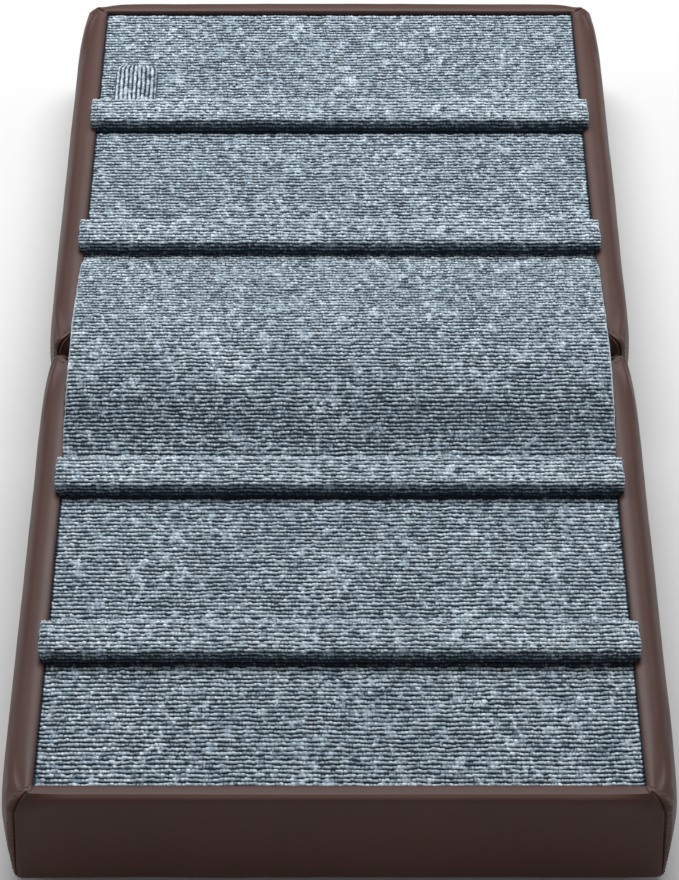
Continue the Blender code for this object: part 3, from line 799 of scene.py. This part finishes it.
def rim_points(column, row, section):
    """Places of the rim's points as (x, distance from the fold, height), and their seam distances."""
    x, d, cosine, sine, arc, gap, panel, sign = COLUMNS[column].T
    tucked = (VISIBLE[row] < 1) & (PROFILE[row][:, 1] < UNDERSIDE + 0.0014)
    panel = np.where(tucked, panel * (np.abs(gap) > TUCK_EAR), panel)
    soft = (np.exp(-(np.abs(gap) / BY_SEAM) ** 1.5) * np.where(d < BY_FOLD, 0.25, 0.9))[:, None]
    out, z = (PROFILE[row] * (1 - soft) + SOFT_PROFILE[row] * soft).T
    low = np.clip((CROWN - z) / (CROWN - UNDERSIDE), 0, 1)
    power = 2 / (CROWN_SQUARE + (HEM_SQUARE - CROWN_SQUARE) * low ** 1.5)
    out_x, out_d = (np.sign(v) * np.abs(v) ** power * (np.abs(v) > 1e-9) for v in (cosine, sine))
    on_end = np.abs(out_d) ** 4
    outer = (sine > 0) * on_end
    lip = (SIDE_LIP * (1 - outer) + END_LIP[section] * outer) / SIDE_LIP
    out = np.where((out < 0) & (VISIBLE[row] > 0), out * lip, out)
    seam = (arc * np.clip(out, 0.0, None) + gap) * sign
    t = np.clip((z - UNDERSIDE) / (CROWN - UNDERSIDE), 0, 1)
    swell = np.sin(np.pi * t ** 0.95) ** 0.7 * np.clip(out / BORDER, 0, 1) ** 3 * VISIBLE[row]
    reach = 1 - np.exp(-(np.abs(seam) / BY_SEAM) ** 1.2)
    lean = END_LEAN[section] * outer * t ** 1.5
    v_height = np.clip((z - CROWN + FOLD_DEPTH) / FOLD_DEPTH, 0, 1)
    lean = lean + FOLD_LEAN * (on_end - outer) * v_height ** 1.3
    lean = lean * np.clip(out / (BORDER - ROLL), 0, 1) * VISIBLE[row]
    over_wood = (z < WOOD_TOP + 0.0012) & (d < BY_FOLD) & (np.abs(gap) > 0.002)
    lean = np.where(over_wood, 0.0, lean)
    padded = out + SIDE_BELLY * np.abs(out_x) ** 4 * reach * swell - lean
    out = padded * (1 - panel) + FLAT[row][:, 0] * panel
    z = z * (1 - panel) + FLAT[row][:, 1] * panel
    return np.stack([x + out_x * out, d + out_d * out, z], axis=1), seam


def cover_ring(name, y_side, section):
    """The rim as a closed ring of quads, before it is inflated."""
    bm, column, row = swept_grid(len(COLUMNS), len(PROFILE))
    column, row = column % len(COLUMNS), row % len(PROFILE)
    places, seam = rim_points(column, row, section)
    places[:, 1] *= y_side
    set_points(bm, places)
    shown, out = VISIBLE[row], PROFILE[row][:, 0]
    sine, panel = COLUMNS[column][:, 3], COLUMNS[column][:, 6]
    held = np.maximum.reduce([1 - shown, np.exp(-(seam / 0.0025) ** 2), panel ** 0.5, (out < 0.0005) * 1.0,
                              0.85 * np.abs(sine)])
    for key, values in (("seam", seam), ("skin", shown), ("held", held)):
        layer = bm.verts.layers.float.new(key)
        for vert, value in zip(bm.verts, values):
            vert[layer] = float(value)
    bmesh.ops.remove_doubles(bm, verts=bm.verts, dist=WELD)
    bmesh.ops.recalc_face_normals(bm, faces=bm.faces)
    return finished(name, bm, LEATHER)


def values_of(mesh, key):
    values = np.empty(len(mesh.vertices))
    mesh.attributes[key].data.foreach_get("value", values)
    return values


def places_of(mesh):
    places = np.empty(len(mesh.vertices) * 3)
    mesh.vertices.foreach_get("co", places)
    return places.reshape(-1, 3)


# %% [markdown]
# Air pressure does what the foam does: the ring is inflated as cloth for a few frames while its seams,
# lip, hem and inner wall are held, so the leather swells between them and pulls in at the corners. How far
# a point may move is capped. One level of subdivision then makes room for the seams' detail.

# %% Inflate and subdivide
SWELL_CAP = 0.0020  # the furthest that a point may move
SIM_FRAMES = 14


def inflate(piece):
    rest, held = places_of(piece.data), values_of(piece.data, "held")
    group = piece.vertex_groups.new(name="held")
    for index, weight in enumerate(held):
        group.add([index], float(weight), "REPLACE")
    cloth = piece.modifiers.new("foam pressure", "CLOTH")
    settings = cloth.settings
    settings.quality, settings.mass, settings.bending_stiffness = 4, 0.25, 0.8
    settings.tension_stiffness = settings.compression_stiffness = 14
    settings.use_pressure, settings.uniform_pressure_force = True, 5
    settings.effector_weights.gravity = 0
    settings.vertex_group_mass = "held"
    cloth.point_cache.frame_end = SIM_FRAMES
    for step in range(1, SIM_FRAMES + 1):
        bpy.context.scene.frame_set(step)
    blown = piece.evaluated_get(bpy.context.evaluated_depsgraph_get())
    moved = places_of(blown.data) - rest
    far = np.linalg.norm(moved, axis=1)
    print(f"{piece.name}: pressure moved the leather up to {far.max() * 1000:.1f} mm, "
          f"{np.median(far[held < 0.1]) * 1000:.2f} mm in the middle of the panels")
    moved *= (SWELL_CAP * np.tanh(far / SWELL_CAP) / np.maximum(far, 1e-9) * (1 - held))[:, None]
    piece.modifiers.remove(cloth)
    bpy.context.scene.frame_set(1)
    piece.data.vertices.foreach_set("co", (rest + moved).ravel())
    piece.vertex_groups.clear()


def subdivide(piece):
    smooth = piece.modifiers.new("subdivide", "SUBSURF")
    smooth.levels = smooth.render_levels = 1
    finer = bpy.data.meshes.new_from_object(piece.evaluated_get(bpy.context.evaluated_depsgraph_get()))
    piece.modifiers.clear()
    piece.data = finer


# %% [markdown]
# At each corner two panels are sewn together and turned. That leaves a thin dark valley, with a small
# raised lip on the end panel, and on the side panel a slightly thicker band where the seam's allowance lies
# underneath, held by a row of top-stitches. The points near the seam move along their normals to make
# those, with a few soft pulls in the leather towards the seam.

# %% Sew the corners
STITCH_LINE = 0.0056  # distance of the stitches from the seam


def step_up(value, place, width):
    """A soft step from 0 to 1 at place."""
    return 1 / (1 + np.exp(-np.clip((value - place) / width, -30, 30)))


def sew(piece):
    mesh = piece.data
    side = values_of(mesh, "seam")
    skin = np.clip(values_of(mesh, "skin"), 0, 1) ** 2
    places = places_of(mesh)
    normals = np.empty(len(places) * 3)
    mesh.vertex_normals.foreach_get("vector", normals)
    x, y, z = places.T
    valley = -0.0014 * np.exp(-(side / 0.0008) ** 2)
    lip = 0.00045 * np.exp(-((side + 0.0021) / 0.0010) ** 2)
    band = 0.0005 * step_up(side, 0.0012, 0.0003) * step_up(-side, -STITCH_LINE - 0.0012, 0.0004)
    dimple = -0.0005 * np.exp(-((side - STITCH_LINE) / 0.0006) ** 2)
    pulls = 0.00022 * np.sin(z * 800 + 2.5 * drift(x, y, 0.02, 3.0)) * np.exp(-np.abs(side) / 0.010)
    waves = 0.00035 * drift(x + z, y - 0.7 * z, 0.045, 6.0) + 0.00014 * drift(x - z, y + z, 0.014, 2.0)
    shift = skin * (valley + lip + band + dimple + pulls + waves)
    mesh.vertices.foreach_set("co", (places + normals.reshape(-1, 3) * shift[:, None]).ravel())
    mesh.update()


# %% [markdown]
# The top-stitches are small threads laid on the finished surface. Their line is found on the rim where the
# seam distance is right, spaced out evenly, and each stitch is dropped to the nearest point of the leather
# with its ends pulled in.

# %% Top-stitching
STITCH, STITCH_PITCH, THREAD_R = 0.0034, 0.0045, 0.00048  # one stitch, the next one, half its thickness


def stitch_line(middle, section):
    """The stitch line at one corner, as points from the lip down to the hem."""
    reach = CORNER_STEPS + 4
    near = np.arange(middle - reach, middle + reach + 1) % len(COLUMNS)
    line = []
    for row in np.flatnonzero(VISIBLE > 0)[4:-1]:
        places, seam = rim_points(near, np.full(len(near), row), section)
        order = np.argsort(seam)
        line.append([np.interp(STITCH_LINE, seam[order], places[order, i]) for i in range(3)])
    return np.array(line)


def stitches(name, cover, y_side, section):
    mesh = cover.data
    tree = BVHTree.FromPolygons([v.co for v in mesh.vertices], [p.vertices for p in mesh.polygons])
    bm = bmesh.new()
    corners = np.flatnonzero((np.abs(COLUMNS[:, 4]) < 1e-9) & (COLUMNS[:, 5] == 0))
    for middle in corners:
        line = stitch_line(middle, section) * (1, y_side, 1)
        run = np.concatenate([[0], np.cumsum(np.linalg.norm(np.diff(line, axis=0), axis=1))])
        for start in np.arange(0.001, run[-1] - STITCH, STITCH_PITCH):
            ends = [Vector([np.interp(s, run, line[:, i]) for i in range(3)])
                    for s in (start, start + STITCH)]
            spot, normal, _, _ = tree.find_nearest((ends[0] + ends[1]) / 2)
            along = (ends[1] - ends[0]).normalized()
            along = (along - normal * along.dot(normal)).normalized()
            across = normal.cross(along)
            made = bmesh.ops.create_uvsphere(bm, u_segments=8, v_segments=7, radius=1.0)["verts"]
            for vert in made:
                a, b, c = vert.co.z, vert.co.x, vert.co.y
                reach = math.copysign(abs(a) ** 0.8, a) * STITCH / 2
                vert.co = (spot + along * reach + across * b * THREAD_R
                           + normal * (c * THREAD_R + 0.00028 * (1 - 2.2 * a * a)))
    bmesh.ops.recalc_face_normals(bm, faces=bm.faces)
    return finished(name, bm, THREAD)


# %% The two covers
for section, y_side in SECTIONS:
    cover = cover_ring(f"{section}_cover", y_side, section)
    inflate(cover)
    subdivide(cover)
    sew(cover)
    thread = stitches(f"{section}_stitches", cover, y_side, section)
    for piece in (cover, thread):
        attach(piece, f"{section}_section")
    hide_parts(*(f"{section}_{part}" for part in (
        "left_leather", "right_leather", "end_leather", "hinge_end_leather",
        "left_foam", "right_foam", "end_foam")))
    print(f"{cover.name}: {len(cover.data.polygons)} faces")

# %% [markdown]
# ## Studio
# A pale floor, one broad light overhead and behind, and weaker strips at the sides and the front, so that
# the tops are bright and the front faces dark. The long lens stands in front of the ramp and looks down
# at it.

# %% Floor, lights and camera
def studio_floor():
    bm = bmesh.new()
    bmesh.ops.create_grid(bm, x_segments=1, y_segments=1, size=6.0)
    f = Finish("floor", Roughness=0.9)
    f.feed("Base Color", f.mix(f.noise(3.0), (0.62, 0.62, 0.62, 1), (0.65, 0.65, 0.65, 1)))
    finished("floor", bm, f.material)


RAMP_MIDDLE = (0.0, 0.0, 0.05)  # where every light points
AMBIENT = 0.16


def area_light(name, place, size, power):
    light = bpy.data.lights.new(name, "AREA")
    light.shape, light.size, light.size_y, light.energy = "RECTANGLE", size[0], size[1], power
    lamp = bpy.data.objects.new(name, light)
    lamp.location = place
    lamp.rotation_euler = (Vector(RAMP_MIDDLE) - Vector(place)).to_track_quat("-Z", "Y").to_euler()
    bpy.context.collection.objects.link(lamp)


studio_floor()
area_light("overhead", (0.0, 1.25, 2.1), (2.4, 1.2), 90.0)
area_light("front_fill", (0.0, -2.4, 0.5), (2.4, 0.8), 7.0)
area_light("left_strip", (-2.2, 0.1, 0.9), (2.4, 0.9), 9.5)
area_light("right_strip", (2.2, 0.1, 0.9), (2.4, 0.9), 6.0)
world = bpy.data.worlds.new("studio")
world.use_nodes = True
sky = world.node_tree.nodes["Background"].inputs
sky["Color"].default_value, sky["Strength"].default_value = (1.0, 1.0, 1.0, 1.0), AMBIENT
bpy.context.scene.world = world
bpy.context.scene.view_settings.view_transform = "Standard"

lens = bpy.data.cameras.new("camera")
lens.lens, lens.sensor_width = 110.2, 36.0
camera = bpy.data.objects.new("camera", lens)
camera.location = (0.0, -1.523, 1.583)
camera.rotation_euler = (math.radians(43.6), 0.0, 0.0)
bpy.context.collection.objects.link(camera)
bpy.context.scene.camera = camera
